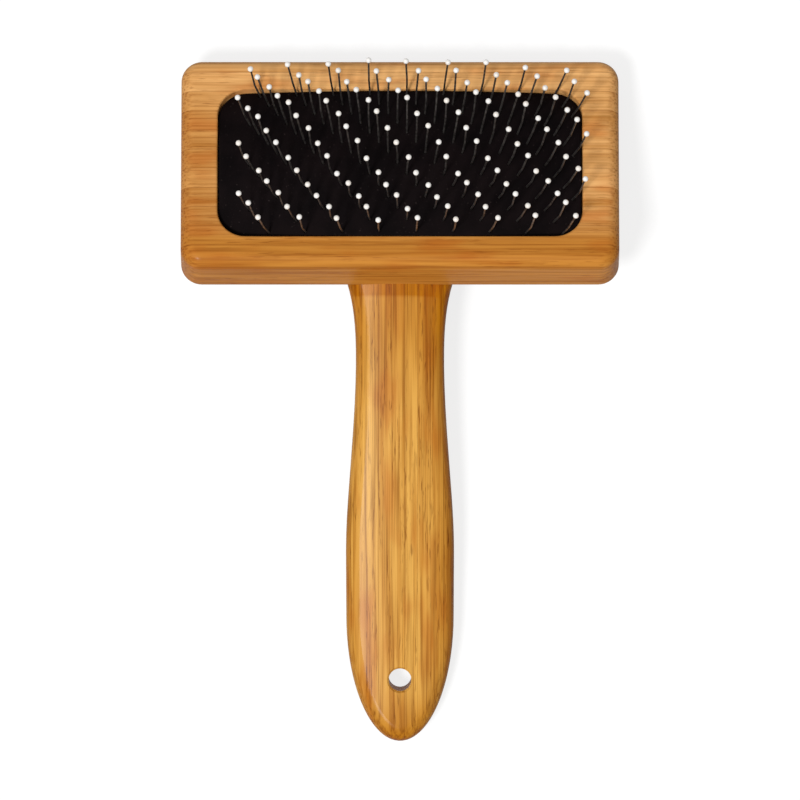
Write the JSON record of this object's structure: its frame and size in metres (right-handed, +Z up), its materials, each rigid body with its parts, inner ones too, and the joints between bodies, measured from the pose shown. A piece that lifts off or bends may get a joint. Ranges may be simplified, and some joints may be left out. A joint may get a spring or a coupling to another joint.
{
  "type": "slicker brush",
  "caption": "Pet slicker brush: a rounded bamboo head with a sprung rubber pad of bent, ball-tipped wire pins, and an angled bamboo handle with a hanging hole.",
  "frame": {"origin": "on the surface the brush lies on, below the middle of its bounding box", "axes": "+X across the head, +Y from the handle's end to the head's far edge, +Z up, the side that the pins stand on"},
  "size_m": [0.115, 0.1796, 0.0452],
  "materials": {
    "head_bamboo": "clear satin lacquer on laminated bamboo, grain across the head",
    "handle_bamboo": "clear satin lacquer on laminated bamboo, grain along the handle",
    "dowel_wood": "bare hardwood, glued in",
    "foam": "open-cell foam",
    "pad_rubber": "matt black rubber sheet",
    "pad_cloth": "woven backing cloth",
    "steel_wire": "drawn spring wire",
    "ball_resin": "glossy white resin beads"
  },
  "bodies": {
    "frame": {"head_block": "head_bamboo", "handle": "handle_bamboo", "handle_dowels": "dowel_wood", "foam_cushion": "foam"},
    "pad": {"pad_rubber": "pad_rubber", "pad_cloth": "pad_cloth", "wire_staples_1": "steel_wire", "wire_staples_2": "steel_wire", "wire_staples_3": "steel_wire", "wire_staples_4": "steel_wire", "wire_staples_5": "steel_wire", "wire_staples_6": "steel_wire", "wire_staples_7": "steel_wire", "ball_tips_row_01": "ball_resin", "ball_tips_row_02": "ball_resin", "ball_tips_row_03": "ball_resin", "ball_tips_row_04": "ball_resin", "ball_tips_row_05": "ball_resin", "ball_tips_row_06": "ball_resin", "ball_tips_row_07": "ball_resin", "ball_tips_row_08": "ball_resin", "ball_tips_row_09": "ball_resin", "ball_tips_row_10": "ball_resin", "ball_tips_row_11": "ball_resin", "ball_tips_row_12": "ball_resin", "ball_tips_row_13": "ball_resin", "ball_tips_row_14": "ball_resin"}
  },
  "joints": [
    {"name": "pad_press", "type": "slide", "parent": "frame", "child": "pad", "axis": [0, -0.3488, -0.9372], "range_m": [0, 0.002], "stiffness_N_per_m": 3000, "springref_m": -0.0003, "deforming": ["foam_cushion"]}
  ]
}
